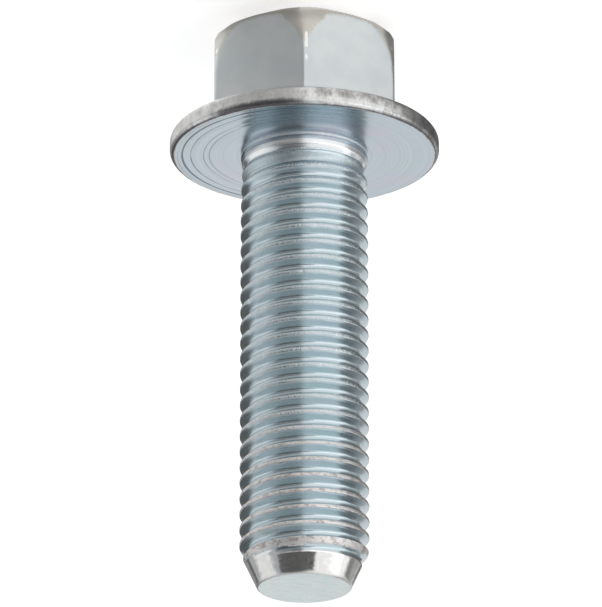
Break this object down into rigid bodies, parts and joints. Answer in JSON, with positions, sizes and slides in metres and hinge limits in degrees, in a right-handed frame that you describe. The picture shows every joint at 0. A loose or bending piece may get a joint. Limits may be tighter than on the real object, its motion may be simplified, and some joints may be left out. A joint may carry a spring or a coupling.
{
  "type": "flange bolt",
  "caption": "Flange bolt with a hexagon head forged on a round flange, a fully threaded shank and a coned point.",
  "frame": {"origin": "centre of the crown's flat top, on which the bolt stands, at the bottom of its box", "axes": "+Z along the bolt's axis from the head's crown towards the point; two corners of the hexagon on the Y axis"},
  "size_m": [0.0208, 0.0206, 0.0457],
  "materials": {
    "zinc_plating": "bright zinc plating on steel, with a pale blue and pink tint"
  },
  "bodies": {
    "root": {"flange_bolt": "zinc_plating"}
  },
  "joints": []
}
